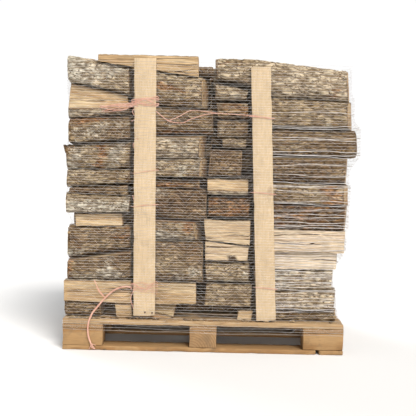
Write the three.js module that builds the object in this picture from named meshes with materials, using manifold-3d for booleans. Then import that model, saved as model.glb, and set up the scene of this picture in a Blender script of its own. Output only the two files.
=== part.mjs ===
// A pallet of split firewood: 4 columns of logs laid flat on a block pallet, two wooden
// battens on the front and two on the back, and the twisted tail of the wrapping net.
// Millimetres. +X runs along the logs, -Y is the front, +Z is up, and the origin is the
// middle of the pallet's footprint, on the ground.
import * as THREE from 'three';
import Module from 'manifold-3d';
import { mergeVertices } from 'three/addons/utils/BufferGeometryUtils.js';

const wasm = await Module();
wasm.setup();

// ---------- driving dimensions ----------

const PALLET = { length: 1200, depth: 800, bottomBoard: 20, block: 72, stringer: 20, deckBoard: 22 };
const END_BLOCK_LENGTH = 172;
const MIDDLE_BLOCK_LENGTH = 116;
const BLOCK_DEPTH = 100;
const MIDDLE_BLOCK_DEPTH = 145;
const DECK_BOARD_WIDTHS = [145, 100, 145, 100, 145];
const BOTTOM_BOARD_WIDTHS = [100, 145, 100];
const DECK_TOP = PALLET.bottomBoard + PALLET.block + PALLET.stringer + PALLET.deckBoard;

const TOUCH = 0.3; // clearance where two pieces rest on each other
const LOG_SIDES = 16; // facets of a whole trunk
const TRUNK_SQUARENESS = 2.5; // exponent of the trunk's superellipse: 2 is a circle
const FRONT_ROW_DEPTH = 112;
const FRONT_FACE = -369; // the proudest log faces, a batten's thickness behind the pallet's edge
const BACK_FACE = 369;
const STACK_LEAN = 1.2; // degrees that the whole stack has settled to the left

const BATTEN_THICKNESS = 22;
const BATTEN_GAP = 2; // between a batten and the proudest logs behind it
const LEFT_BATTEN = { x: -248.5, width: 93, bottom: 150, top: 1243, lean: -0.45 }; // lean beyond the stack's
const RIGHT_BATTEN = { x: 255, width: 84, bottom: 141, top: 1218, lean: 1.46 };

const REAR_TOP = 1222; // top of the logs behind the front row
const REAR_ENDS = [-566, 600]; // left and right ends of the logs behind the front row
const THIRD_COLUMN = { left: 54, right: 196, top: 1260, front: -359 };

// ---------- materials ----------

const finish = (color, roughness) => new THREE.MeshStandardMaterial({ color, roughness, metalness: 0 });
const BARK = finish(0x857a66, 0.95);
const SPLIT_WOOD = finish(0xd3ab78, 0.8);
const SAWN_SPRUCE = finish(0xe6c69a, 0.75);
const PALLET_WOOD = finish(0xc08f58, 0.8);
const NET_CORD = finish(0xe2a38e, 0.6);

const part = new THREE.Group();

// How far left the leaning stack has moved at a height.
const settled = (z) => (z - DECK_TOP) * Math.tan(THREE.MathUtils.degToRad(STACK_LEAN));

function add(name, geometry, material) {
  const mesh = new THREE.Mesh(geometry, material);
  mesh.name = name;
  part.add(mesh);
  return mesh;
}

// ---------- pallet ----------

// A board or block, standing on height z, centred on x and y.
function timber(name, [length, depth, height], [x, y, z]) {
  const box = new THREE.BoxGeometry(length, depth, height);
  add(name, box, PALLET_WOOD).position.set(x, y, z + height / 2);
}

// Centres that spread pieces of these widths over a span, the outer two flush with its ends.
function spread(widths, span) {
  const gap = (span - widths.reduce((sum, w) => sum + w, 0)) / (widths.length - 1);
  let edge = -span / 2;
  return widths.map((width) => {
    const centre = edge + width / 2;
    edge += width + gap;
    return centre;
  });
}

function pallet() {
  const blockLengths = [END_BLOCK_LENGTH, MIDDLE_BLOCK_LENGTH, END_BLOCK_LENGTH];
  const blockDepths = [BLOCK_DEPTH, MIDDLE_BLOCK_DEPTH, BLOCK_DEPTH];
  const columns = spread(blockLengths, PALLET.length);
  const rows = spread(blockDepths, PALLET.depth);
  const side = ['left', 'middle', 'right'];
  const row = ['front', 'centre', 'rear'];
  const blockFoot = PALLET.bottomBoard + TOUCH;
  const stringerFoot = PALLET.bottomBoard + PALLET.block;
  const deckFoot = stringerFoot + PALLET.stringer;

  rows.forEach((y, j) => {
    const boardSize = [PALLET.length, BOTTOM_BOARD_WIDTHS[j], PALLET.bottomBoard];
    timber(`pallet_bottom_board_${row[j]}`, boardSize, [0, y, 0]);
    columns.forEach((x, i) => {
      const blockSize = [blockLengths[i], blockDepths[j], PALLET.block - TOUCH];
      timber(`pallet_block_${row[j]}_${side[i]}`, blockSize, [x, y, blockFoot]);
    });
  });
  columns.forEach((x, i) => {
    const stringerSize = [blockLengths[i], PALLET.depth, PALLET.stringer - TOUCH];
    timber(`pallet_stringer_${side[i]}`, stringerSize, [x, 0, stringerFoot + TOUCH]);
  });
  spread(DECK_BOARD_WIDTHS, PALLET.depth).forEach((y, j) => {
    const boardSize = [PALLET.length, DECK_BOARD_WIDTHS[j], PALLET.deckBoard - TOUCH];
    timber(`pallet_deck_board_${j + 1}`, boardSize, [0, y, deckFoot + TOUCH]);
  });
}

// ---------- logs ----------

// How a trunk is split before it is stacked: the part kept has direction . point <= distance,
// for each [direction in degrees, distance in trunk radii]. Direction 180 faces the front of
// the stack, 90 faces up.
const SPLITS = {
  round: [[0, 0.85]],
  half: [[0, 0.2]],
  bark_over_split: [[0, 0.3], [262, 0.45]],
  split_over_bark: [[0, 0.3], [98, 0.4]],
  split_face: [[180, 0.1], [300, 0.75]],
  wedge_face: [[172, 0.05], [285, 0.3]],
  split_top: [[124, 0.12], [0, 0.5]],
};

function trunkOutline() {
  const round = (value) => Math.sign(value) * Math.abs(value) ** (2 / TRUNK_SQUARENESS);
  return Array.from({ length: LOG_SIDES }, (_, i) => {
    const angle = ((i + 0.5) / LOG_SIDES) * 2 * Math.PI;
    return new THREE.Vector2(round(Math.cos(angle)), round(Math.sin(angle)));
  });
}

// The outline left when everything past one straight split is taken away.
function split(outline, [degrees, distance]) {
  const angle = THREE.MathUtils.degToRad(degrees);
  const direction = new THREE.Vector2(Math.cos(angle), Math.sin(angle));
  const kept = [];
  outline.forEach((point, i) => {
    const next = outline[(i + 1) % outline.length];
    const here = point.dot(direction) - distance;
    const there = next.dot(direction) - distance;
    if (here <= 0) kept.push(point);
    if (here * there < 0) kept.push(point.clone().lerp(next, here / (here - there)));
  });
  return kept;
}

// The section of a split log, stretched to fill a unit square: x from front to back, y up.
function section(kind) {
  const outline = SPLITS[kind].reduce(split, trunkOutline());
  const box = new THREE.Box2().setFromPoints(outline);
  const size = box.getSize(new THREE.Vector2());
  return new THREE.Shape(outline.map((point) => point.clone().sub(box.min).divide(size)));
}

// One log. Each end is { x, bottom, top, front, back }, so it can taper, tilt and turn a little.
// It lies where the stack's lean has taken it.
function log(name, kind, left, right) {
  const geometry = new THREE.ExtrudeGeometry(section(kind), { depth: 1, steps: 1, bevelEnabled: false });
  const at = geometry.attributes.position;
  const { lerp } = THREE.MathUtils;
  for (let i = 0; i < at.count; i += 1) {
    const [deep, high, along] = [at.getX(i), at.getY(i), at.getZ(i)];
    const end = along < 0.5 ? left : right;
    const x = end.x - settled((end.bottom + end.top) / 2);
    at.setXYZ(i, x, lerp(end.front, end.back, deep), lerp(end.bottom, end.top, high));
  }
  add(name, geometry, kind.includes('face') ? SPLIT_WOOD : BARK);
}

// Each column of the front row, from the top log down. A course line is the height between two
// logs at the column's left and right edge, with the slit left open there. A log has the way it
// was split, where its two ends are, and how far it stands back from the front.
const COLUMNS = [
  {
    name: 'left_log',
    edges: [-575, -306],
    courses: [
      [1252, 1207, 0], [1136, 1088, 5], [986, 1010, 10], [873, 895, 6], [769, 774, 4], [692, 714, 10],
      [667, 657, 4], [577, 584, 8], [528, 536, 4], [386, 432, 5], [291, 293, 5], [205, 198, 5],
      [DECK_TOP, DECK_TOP, 2],
    ],
    logs: [
      ['bark_over_split', -577, -308, 4], ['split_top', -572, -314, 6], ['bark_over_split', -570, -306, 0],
      ['half', -583, -307, 2], ['round', -582, -305, 8], ['half', -574, -322, 22],
      ['bark_over_split', -587, -312, 0], ['wedge_face', -552, -334, 16], ['half', -576, -309, 4],
      ['split_over_bark', -584, -306, 0], ['split_face', -593, -309, 2], ['round', -592, -436, 12],
    ],
  },
  {
    name: 'middle_log',
    edges: [-272, 20],
    courses: [
      [1204, 1168, 3], [1054, 1038, 9], [920, 932, 9], [821, 826, 4], [735, 740, 11], [704, 690, 4],
      [570, 557, 5], [468, 473, 4], [291, 287, 5], [197, 203, 7], [DECK_TOP, DECK_TOP, 2],
    ],
    logs: [
      ['round', -286, 24, 2], ['half', -290, 46, 10], ['split_over_bark', -284, 14, 0],
      ['bark_over_split', -281, 16, 4], ['half', -276, -14, 24], ['half', -288, 17, 2],
      ['split_over_bark', -285, -6, 6], ['half', -279, 2, 0], ['split_face', -287, -28, 4],
      ['wedge_face', -283, -118, 16],
    ],
  },
  {
    name: 'right_log',
    edges: [215, 610],
    courses: [
      [1246, 1213, 3], [1099, 1085, 6], [962, 960, 4], [845, 848, 4], [733, 727, 7], [639, 634, 4],
      [531, 529, 5], [441, 438, 4], [361, 367, 5], [264, 270, 4], [176, 181, 6], [DECK_TOP, DECK_TOP, 2],
    ],
    logs: [
      ['half', 214, 624, 4], ['bark_over_split', 220, 636, 0], ['half', 217, 664, 8],
      ['split_over_bark', 224, 618, 4], ['bark_over_split', 216, 623, 2], ['round', 222, 618, 0],
      ['split_face', 219, 608, 2], ['wedge_face', 226, 562, 10], ['half', 218, 552, 6],
      ['bark_over_split', 223, 566, 2], ['round', 230, 574, 14],
    ],
  },
];

function frontColumn({ name, edges, courses, logs }) {
  const [leftEdge, rightEdge] = edges;
  const heightAt = ([left, right], x) => THREE.MathUtils.mapLinear(x, leftEdge, rightEdge, left, right);
  logs.forEach(([kind, left, right, setBack], i) => {
    const [above, below] = [courses[i], courses[i + 1]];
    const front = FRONT_FACE + setBack;
    const end = (x) => ({
      x,
      bottom: heightAt(below, x) + below[2] / 2,
      top: heightAt(above, x) - above[2] / 2,
      front,
      back: FRONT_FACE + FRONT_ROW_DEPTH,
    });
    log(`${name}_${String(i + 1).padStart(2, '0')}`, kind, end(left), end(right));
  });
}

// The long split log laid on top, across the joint of the first two columns.
const TOP_LOG_LEFT = { x: -447, bottom: 1232, top: 1254 };
const TOP_LOG_RIGHT = { x: -20, bottom: 1174, top: 1262 };

function topLog() {
  const depths = { front: FRONT_FACE + 6, back: FRONT_FACE + FRONT_ROW_DEPTH - 10 };
  log('top_split_log', 'split_face', { ...TOP_LOG_LEFT, ...depths }, { ...TOP_LOG_RIGHT, ...depths });
}

// ---------- the logs behind ----------

function toSolid(geometry) {
  const bare = geometry.clone();
  bare.deleteAttribute('normal');
  bare.deleteAttribute('uv');
  const merged = mergeVertices(bare);
  const vertProperties = merged.attributes.position.array;
  const triVerts = new Uint32Array(merged.index.array);
  return new wasm.Manifold(new wasm.Mesh({ numProp: 3, vertProperties, triVerts }));
}

function toGeometry(solid) {
  const { vertProperties, triVerts } = solid.getMesh();
  const geometry = new THREE.BufferGeometry();
  geometry.setAttribute('position', new THREE.BufferAttribute(vertProperties, 3));
  return geometry.setIndex(new THREE.BufferAttribute(triVerts, 1));
}

// A block that leans with the stack.
function leaningBlock([x0, x1], [y0, y1], [z0, z1]) {
  const box = new THREE.BoxGeometry(x1 - x0, y1 - y0, z1 - z0);
  box.translate((x0 + x1) / 2, (y0 + y1) / 2, (z0 + z1) / 2);
  const at = box.attributes.position;
  for (let i = 0; i < at.count; i += 1) at.setX(i, at.getX(i) - settled(at.getZ(i)));
  return box;
}

// Every log behind the front row, and the whole of the narrow third column, as the one outer
// shape that they fill: the stack holds over two hundred and fifty of them.
function remainingLogs() {
  const foot = DECK_TOP + 1;
  const behind = FRONT_FACE + FRONT_ROW_DEPTH + 2;
  const { left, right, top, front } = THIRD_COLUMN;
  const rear = toSolid(leaningBlock(REAR_ENDS, [behind, BACK_FACE], [foot, REAR_TOP]));
  const third = toSolid(leaningBlock([left, right], [front, behind + 60], [foot, top]));
  add('logs_behind_and_third_column', toGeometry(rear.add(third)), BARK);
}

// ---------- battens ----------

function batten(name, { x, width, bottom, top, lean }, y) {
  const box = new THREE.BoxGeometry(width, BATTEN_THICKNESS, top - bottom);
  const board = add(name, box, SAWN_SPRUCE);
  const middle = (bottom + top) / 2;
  board.position.set(x - settled(middle), y, middle);
  board.rotation.y = -THREE.MathUtils.degToRad(STACK_LEAN + lean);
}

function battens() {
  const standOff = BACK_FACE + BATTEN_GAP + BATTEN_THICKNESS / 2;
  batten('batten_front_left', LEFT_BATTEN, -standOff);
  batten('batten_front_right', RIGHT_BATTEN, -standOff);
  batten('batten_rear_left', LEFT_BATTEN, standOff);
  batten('batten_rear_right', { ...RIGHT_BATTEN, lean: 0 }, standOff);
}

// ---------- the net's tail ----------

// The twisted end of the net, drawn from the left batten down to the pallet's lower corner.
const TAIL_DIAMETER = 8;
const TAIL_SIDES = 8;
const TAIL_STEPS = 18;
const TAIL_ROUTE = [
  [-308, -379, 267], [-318, -378, 271], [-330, -378, 273], [-343, -378, 272], [-358, -378, 268],
  [-382, -380, 258], [-404, -382, 241], [-421, -385, 224], [-434, -388, 209], [-447, -392, 193],
  [-459, -397, 178], [-471, -401, 163], [-480, -405, 144], [-488, -407, 120], [-491, -407, 92],
  [-487, -407, 58], [-474, -407, 22],
];

function netTail() {
  const route = new THREE.CatmullRomCurve3(TAIL_ROUTE.map((point) => new THREE.Vector3(...point)));
  const round = new THREE.Shape().absarc(0, 0, TAIL_DIAMETER / 2, 0, 2 * Math.PI);
  const outline = new THREE.Shape(round.getSpacedPoints(TAIL_SIDES).slice(0, TAIL_SIDES));
  add('net_tail', new THREE.ExtrudeGeometry(outline, { steps: TAIL_STEPS, extrudePath: route }), NET_CORD);
}

pallet();
COLUMNS.forEach(frontColumn);
topLog();
remainingLogs();
battens();
netTail();

export default part;
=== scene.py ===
"""A pallet of split firewood, braced by upright battens and wrapped in thin stretched net.

Metres, +Z up. The logs lie along X and the front of the stack faces -Y.
"""

import math
import random
from collections import namedtuple

import bmesh
import bpy
from mathutils import Matrix, Vector, noise


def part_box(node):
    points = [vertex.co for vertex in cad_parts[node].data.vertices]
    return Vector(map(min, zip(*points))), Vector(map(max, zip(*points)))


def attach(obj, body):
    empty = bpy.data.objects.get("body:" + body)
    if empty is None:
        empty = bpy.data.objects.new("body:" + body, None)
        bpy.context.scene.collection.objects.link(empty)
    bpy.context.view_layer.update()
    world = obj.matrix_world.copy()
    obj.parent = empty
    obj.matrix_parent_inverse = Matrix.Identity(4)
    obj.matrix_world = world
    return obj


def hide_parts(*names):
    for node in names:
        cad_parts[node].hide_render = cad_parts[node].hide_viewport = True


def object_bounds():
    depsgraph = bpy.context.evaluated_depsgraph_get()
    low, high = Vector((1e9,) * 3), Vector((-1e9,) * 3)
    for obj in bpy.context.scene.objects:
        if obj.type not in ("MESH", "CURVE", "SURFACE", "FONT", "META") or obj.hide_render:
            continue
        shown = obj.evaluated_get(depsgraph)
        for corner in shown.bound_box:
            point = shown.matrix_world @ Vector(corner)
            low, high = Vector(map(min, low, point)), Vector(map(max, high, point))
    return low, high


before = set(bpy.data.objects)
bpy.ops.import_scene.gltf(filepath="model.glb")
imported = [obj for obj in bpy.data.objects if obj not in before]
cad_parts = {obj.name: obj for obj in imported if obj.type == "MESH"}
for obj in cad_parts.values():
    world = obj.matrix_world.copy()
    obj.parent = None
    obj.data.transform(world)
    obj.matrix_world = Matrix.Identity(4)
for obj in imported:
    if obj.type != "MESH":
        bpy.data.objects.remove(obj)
cad_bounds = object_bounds()
noise.seed_set(7)  # vector noise takes its offsets from this

DECK_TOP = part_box("pallet_deck_board_1")[1].z
STACK_LEAN = math.tan(math.radians(1.2))  # the stack has settled to the left by this slope


def settled(z):
    """How far left the leaning stack has moved at a height."""
    return (z - DECK_TOP) * STACK_LEAN


def blend(low, high, share):
    return low + (high - low) * share


def smooth_step(low, high, value):
    share = min(max((value - low) / (high - low), 0.0), 1.0)
    return share * share * (3 - 2 * share)


# ---------- camera, lights and floor ----------


def set_camera():
    """Level with the middle of the stack, straight in front, and tilted a little sideways."""
    aim = Vector((0.0095, -0.4, 0.619))
    camera = bpy.data.cameras.new("camera")
    camera.lens = 69.7
    camera.sensor_width = 36
    rig = bpy.data.objects.new("camera", camera)
    rig.location = aim + Vector((0.0, -3.4, 0.2))
    look = (aim - rig.location).to_track_quat("-Z", "Y").to_matrix().to_4x4()
    rig.matrix_world = Matrix.Translation(rig.location) @ look @ Matrix.Rotation(math.radians(1.3), 4, "Z")
    bpy.context.scene.collection.objects.link(rig)
    bpy.context.scene.camera = rig


def set_world():
    """A studio that is white round the horizon and dimmer overhead."""
    world = bpy.data.worlds.new("studio")
    world.use_nodes = True
    sheet = Sheet(world.node_tree)
    facing = sheet.add("ShaderNodeTexCoord").outputs["Generated"]
    up = sheet.math("ABSOLUTE", sheet.add("ShaderNodeSeparateXYZ", {0: facing}).outputs[2])
    background = world.node_tree.nodes["Background"]
    background.inputs["Color"].default_value = (1, 1, 1, 1)
    world.node_tree.links.new(sheet.spread(up, 0.22, 0.55, 1.02, 0.3), background.inputs["Strength"])
    bpy.context.scene.world = world


def set_sun(name, towards, strength, softness, colour):
    """Light from one direction, given as the way from the stack to the light."""
    lamp = bpy.data.lights.new(name, "SUN")
    lamp.energy = strength
    lamp.angle = softness
    lamp.color = colour
    stand = bpy.data.objects.new(name, lamp)
    stand.matrix_world = Vector(towards).to_track_quat("Z", "Y").to_matrix().to_4x4()
    bpy.context.scene.collection.objects.link(stand)


def set_studio():
    set_world()
    bpy.context.scene.view_settings.view_transform = "Standard"
    set_sun("key_light", (0.29, -0.6, 0.74), 3.7, 0.4, (1.0, 0.975, 0.94))
    set_sun("low_front_light", (0.03, -1.0, 0.2), 0.75, 0.25, (1.0, 0.98, 0.95))
    set_sun("back_light", (-0.6, 0.7, 0.5), 1.1, 0.5, (0.94, 0.97, 1.0))

    bm = bmesh.new()
    bmesh.ops.create_grid(bm, x_segments=1, y_segments=1, size=14)
    mesh = bpy.data.meshes.new("floor")
    bm.to_mesh(mesh)
    bm.free()
    floor = bpy.data.objects.new("floor", mesh)
    bpy.context.scene.collection.objects.link(floor)
    pale = bpy.data.materials.new("pale_floor")
    pale.use_nodes = True
    pale.node_tree.nodes["Principled BSDF"].inputs["Base Color"].default_value = (0.76, 0.76, 0.76, 1)
    pale.node_tree.nodes["Principled BSDF"].inputs["Roughness"].default_value = 0.95
    mesh.materials.append(pale)


# ---------- node helpers ----------


def shade(red, green, blue):
    """A colour in display values, 0 to 255, as the linear values that shaders use."""

    def linear(value):
        value /= 255
        return value / 12.92 if value <= 0.04045 else ((value + 0.055) / 1.055) ** 2.4

    return (linear(red), linear(green), linear(blue), 1.0)


class Sheet:
    """Short ways to add nodes to one tree."""

    def __init__(self, tree):
        self.tree = tree

    def add(self, kind, inputs=None, **settings):
        made = self.tree.nodes.new(kind)
        for name, value in settings.items():
            setattr(made, name, value)
        for key, value in (inputs or {}).items():
            if isinstance(value, bpy.types.NodeSocket):
                self.tree.links.new(value, made.inputs[key])
            else:
                made.inputs[key].default_value = value
        return made

    def math(self, operation, a, b=0.0):
        return self.add("ShaderNodeMath", {0: a, 1: b}, operation=operation).outputs[0]

    def spread(self, value, low, high, to_low=0.0, to_high=1.0):
        """Turns a value from low to high into one from to_low to to_high, with soft ends."""
        inputs = {"Value": value, "From Min": low, "From Max": high, "To Min": to_low, "To Max": to_high}
        return self.add("ShaderNodeMapRange", inputs, interpolation_type="SMOOTHSTEP").outputs[0]

    def mix(self, factor, a, b, blend_type="MIX"):
        inputs = {0: factor, 6: a, 7: b}
        return self.add("ShaderNodeMix", inputs, data_type="RGBA", blend_type=blend_type).outputs[2]

    def lighten(self, colour, level):
        """The colour times a grey level."""
        grey = self.add("ShaderNodeCombineColor", {0: level, 1: level, 2: level}).outputs[0]
        return self.mix(1.0, colour, grey, "MULTIPLY")

    def ramp(self, factor, *stops):
        made = self.add("ShaderNodeValToRGB", {0: factor})
        elements = made.color_ramp.elements
        while len(elements) < len(stops):
            elements.new(1.0)
        for element, (place, colour) in zip(elements, stops):
            element.position = place
            element.color = colour
        return made.outputs[0]

    def stretch(self, vector, x, y, z):
        return self.add("ShaderNodeVectorMath", {0: vector, 1: (x, y, z)}, operation="MULTIPLY").outputs[0]

    def clouds(self, vector, scale, detail=3.0, roughness=0.5, distortion=0.0):
        inputs = {"Vector": vector, "Scale": scale, "Detail": detail, "Roughness": roughness}
        inputs["Distortion"] = distortion
        return self.add("ShaderNodeTexNoise", inputs).outputs["Fac"]

    def cells(self, vector, scale, feature="DISTANCE_TO_EDGE"):
        inputs = {"Vector": vector, "Scale": scale}
        return self.add("ShaderNodeTexVoronoi", inputs, feature=feature).outputs["Distance"]

    def wander(self, vector, scale, amount):
        """The vector pushed about by soft noise."""
        drift = self.add("ShaderNodeTexNoise", {"Vector": vector, "Scale": scale, "Detail": 3.0})
        drift = drift.outputs["Color"]
        centred = self.add("ShaderNodeVectorMath", {0: drift, 1: (0.5, 0.5, 0.5)}, operation="SUBTRACT")
        pushed = self.stretch(centred.outputs[0], amount, amount, amount)
        return self.add("ShaderNodeVectorMath", {0: vector, 1: pushed}, operation="ADD").outputs[0]


SOCKETS = {"vector": "NodeSocketVector", "colour": "NodeSocketColor", "value": "NodeSocketFloat"}


def start_effect(name, inputs, outputs):
    """A shader node group with these named inputs and outputs, its sheet and its two ends."""
    tree = bpy.data.node_groups.new(name, "ShaderNodeTree")
    for label, kind in inputs.items():
        tree.interface.new_socket(label, in_out="INPUT", socket_type=SOCKETS[kind])
    for label, kind in outputs.items():
        tree.interface.new_socket(label, in_out="OUTPUT", socket_type=SOCKETS[kind])
    sheet = Sheet(tree)
    return sheet, sheet.add("NodeGroupInput").outputs, sheet.add("NodeGroupOutput")


def finish_effect(sheet, end, **results):
    for label, socket in results.items():
        sheet.tree.links.new(socket, end.inputs[label])
    return sheet.tree


FINISH = {"Color": "colour", "Roughness": "value", "Height": "value"}
LOG_LOOK = {"Vector": "vector", "Tone": "value", "Lichen": "value", "Warmth": "value"}


def bark_effect():
    """Fissured bark: brown to grey-olive, with lichen, warm inner bark and painted shade in its cracks."""
    sheet, given, end = start_effect("fissured_bark", {**LOG_LOOK, "Hollow": "value"}, FINISH)
    along = sheet.stretch(given["Vector"], 0.36, 1, 1)
    wavy = sheet.wander(along, 30, 0.016)
    plates = sheet.cells(wavy, 92)
    streaks = sheet.clouds(sheet.stretch(wavy, 0.8, 1, 1), 150, 5, 0.62)
    mottle = sheet.clouds(given["Vector"], 52, 5, 0.6)
    patches = sheet.clouds(along, 14, 4)
    grit = sheet.clouds(given["Vector"], 340, 4, 0.7)
    cracked = sheet.math("MULTIPLY", sheet.spread(plates, 0.02, 0.16, 1, 0), sheet.spread(mottle, 0.42, 0.56))
    crack = sheet.math("MAXIMUM", cracked, sheet.math("MULTIPLY", given["Hollow"], 0.8))

    depth = sheet.math("ADD", sheet.math("MULTIPLY", patches, 0.5), sheet.math("MULTIPLY", mottle, 0.35))
    depth = sheet.math("ADD", depth, sheet.math("MULTIPLY", given["Tone"], 0.6))
    base = sheet.ramp(
        depth, (0.42, shade(86, 64, 42)), (0.58, shade(122, 99, 71)), (0.72, shade(152, 133, 103)),
        (0.92, shade(188, 172, 146)),
    )
    warm_patch = sheet.clouds(sheet.stretch(given["Vector"], 0.3, 1, 1), 36, 4, 0.65)
    warm_edge = sheet.math("SUBTRACT", 0.76, sheet.math("MULTIPLY", given["Warmth"], 0.34))
    warm = sheet.spread(sheet.math("SUBTRACT", warm_patch, warm_edge), 0.0, 0.1)
    inner_bark = sheet.mix(streaks, shade(104, 68, 42), shade(186, 138, 88))
    base = sheet.mix(sheet.math("MULTIPLY", warm, 0.85), base, inner_bark)

    growth = sheet.clouds(sheet.wander(given["Vector"], 60, 0.012), 84, 6, 0.78)
    broad = sheet.clouds(given["Vector"], 11, 3)
    growth = sheet.math("ADD", sheet.math("MULTIPLY", growth, 0.5), sheet.math("MULTIPLY", broad, 0.5))
    lichen_edge = sheet.math("SUBTRACT", 0.66, sheet.math("MULTIPLY", given["Lichen"], 0.24))
    lichen = sheet.spread(sheet.math("SUBTRACT", growth, lichen_edge), -0.01, 0.07)
    pale = sheet.mix(streaks, shade(150, 143, 122), shade(210, 203, 189))
    base = sheet.mix(sheet.math("MULTIPLY", lichen, 0.8), base, pale)

    lit = sheet.spread(streaks, 0.34, 0.66, 0.58, 1.38)
    base = sheet.lighten(base, lit)
    # Painted shade: the colour is darkened in the cracks, along the plate edges and in the hollows of the
    # displaced bark.
    dark = sheet.mix(1.0, base, shade(122, 104, 84), "MULTIPLY")
    base = sheet.mix(crack, base, dark)
    rough = sheet.spread(grit, 0.3, 0.7, 0.82, 0.98)
    height = sheet.math("SUBTRACT", sheet.math("MULTIPLY", streaks, 0.8), sheet.math("MULTIPLY", crack, 0.6))
    height = sheet.math("ADD", height, sheet.math("MULTIPLY", grit, 0.3))
    return finish_effect(sheet, end, Color=base, Roughness=rough, Height=height)


def split_effect():
    """Torn long fibres of a split face: fresh tan to weathered grey-brown, with fine checks."""
    sheet, given, end = start_effect("split_fibres", {**LOG_LOOK, "Trunk": "vector"}, FINISH)
    wavy = sheet.wander(sheet.stretch(given["Vector"], 0.3, 1, 1), 9, 0.03)
    fibres = sheet.clouds(sheet.stretch(wavy, 0.16, 1, 1), 260, 5, 0.6)
    bands = sheet.clouds(sheet.stretch(wavy, 0.35, 1, 1), 46, 3, 0.55)
    fresh = sheet.ramp(
        bands, (0.3, shade(152, 124, 88)), (0.45, shade(174, 147, 110)), (0.6, shade(188, 164, 128)),
        (0.75, shade(200, 178, 144)),
    )
    aged = sheet.ramp(
        bands, (0.3, shade(104, 87, 62)), (0.5, shade(142, 122, 90)), (0.7, shade(166, 147, 114)),
    )
    stain = sheet.clouds(sheet.stretch(given["Vector"], 0.4, 1, 1), 12, 3)
    fresher = sheet.math("MULTIPLY", given["Tone"], 1.25)
    weather = sheet.math("SUBTRACT", sheet.math("ADD", stain, 0.62), fresher)
    base = sheet.mix(sheet.spread(weather, 0.1, 0.75), fresh, aged)
    base = sheet.mix(sheet.spread(given["Tone"], 0.95, 1.4, 0, 0.7), base, shade(222, 207, 186))  # bleached
    warm = sheet.math("MULTIPLY", sheet.spread(stain, 0.45, 0.65), given["Warmth"])
    base = sheet.mix(warm, base, shade(168, 104, 58))
    radius = sheet.add("ShaderNodeVectorMath", {0: given["Trunk"]}, operation="LENGTH").outputs["Value"]
    uneven = sheet.math("ADD", radius, sheet.math("MULTIPLY", bands, 0.12))
    rings = sheet.math("SINE", sheet.math("MULTIPLY", uneven, 80))
    line = sheet.spread(rings, 0.2, 1.0, 0, 0.28)
    base = sheet.mix(line, base, shade(140, 104, 66))
    streak = sheet.spread(fibres, 0.35, 0.68, 0.62, 1.22)
    base = sheet.lighten(base, streak)
    check = sheet.spread(sheet.cells(sheet.stretch(wavy, 0.1, 1, 1), 42), 0.012, 0.035, 1, 0)
    check = sheet.math("MULTIPLY", check, sheet.spread(stain, 0.42, 0.55))
    base = sheet.mix(check, base, shade(62, 46, 32))
    under_bark = sheet.spread(radius, 0.93, 0.99)
    base = sheet.mix(sheet.math("MULTIPLY", under_bark, 0.8), base, shade(92, 66, 44))
    rough = sheet.spread(fibres, 0.3, 0.7, 0.68, 0.88)
    height = sheet.math("SUBTRACT", sheet.math("ADD", fibres, sheet.math("MULTIPLY", bands, 0.8)), check)
    return finish_effect(sheet, end, Color=base, Roughness=rough, Height=height)


def end_effect():
    """A sawn end: growth rings, radial checks, a darker heart, saw marks and a rim of bark."""
    sheet, given, end = start_effect("sawn_end", {**LOG_LOOK, "Trunk": "vector"}, FINISH)
    bent = sheet.wander(given["Trunk"], 1.7, 0.16)
    radius = sheet.add("ShaderNodeVectorMath", {0: bent}, operation="LENGTH").outputs["Value"]
    parts = sheet.add("ShaderNodeSeparateXYZ", {0: bent}).outputs
    turn = sheet.math("ARCTAN2", parts[0], parts[1])
    rings = sheet.math("SINE", sheet.math("MULTIPLY", radius, 88))
    blotch = sheet.clouds(given["Vector"], 22, 4, 0.6)
    base = sheet.ramp(
        blotch, (0.35, shade(160, 130, 92)), (0.55, shade(188, 158, 116)), (0.72, shade(206, 182, 142)),
    )
    base = sheet.mix(sheet.spread(rings, 0.1, 1.0, 0, 0.5), base, shade(140, 100, 62))
    heart = sheet.spread(radius, 0.5, 0.32)
    base = sheet.mix(sheet.math("MULTIPLY", heart, 0.4), base, shade(138, 96, 62))
    dust = sheet.math("SUBTRACT", sheet.math("ADD", blotch, 0.45), given["Tone"])
    base = sheet.mix(sheet.spread(dust, 0.1, 0.9, 0, 0.5), base, shade(136, 120, 96))
    fan = sheet.add("ShaderNodeCombineXYZ", {0: turn, 1: sheet.math("MULTIPLY", radius, 0.3)}).outputs[0]
    rays = sheet.spread(sheet.cells(fan, 2.6), 0.008, 0.03, 1, 0)
    rays = sheet.math("MULTIPLY", rays, sheet.spread(radius, 0.12, 0.3))
    base = sheet.mix(rays, base, shade(58, 42, 30))
    saw = sheet.clouds(sheet.stretch(given["Vector"], 1, 1, 0.06), 420, 2)
    tooth = sheet.spread(saw, 0.35, 0.65, 0.82, 1.1)
    base = sheet.lighten(base, tooth)
    rim_wander = sheet.math("MULTIPLY", sheet.math("SUBTRACT", blotch, 0.5), 0.12)
    rim = sheet.spread(sheet.math("ADD", radius, rim_wander), 0.945, 0.965)
    base = sheet.mix(rim, base, sheet.mix(blotch, shade(58, 42, 30), shade(116, 92, 66)))
    rough = sheet.spread(blotch, 0.3, 0.7, 0.74, 0.92)
    height = sheet.math("SUBTRACT", sheet.math("ADD", sheet.math("MULTIPLY", rings, 0.12), saw), rays)
    return finish_effect(sheet, end, Color=base, Roughness=rough, Height=height)


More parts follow.
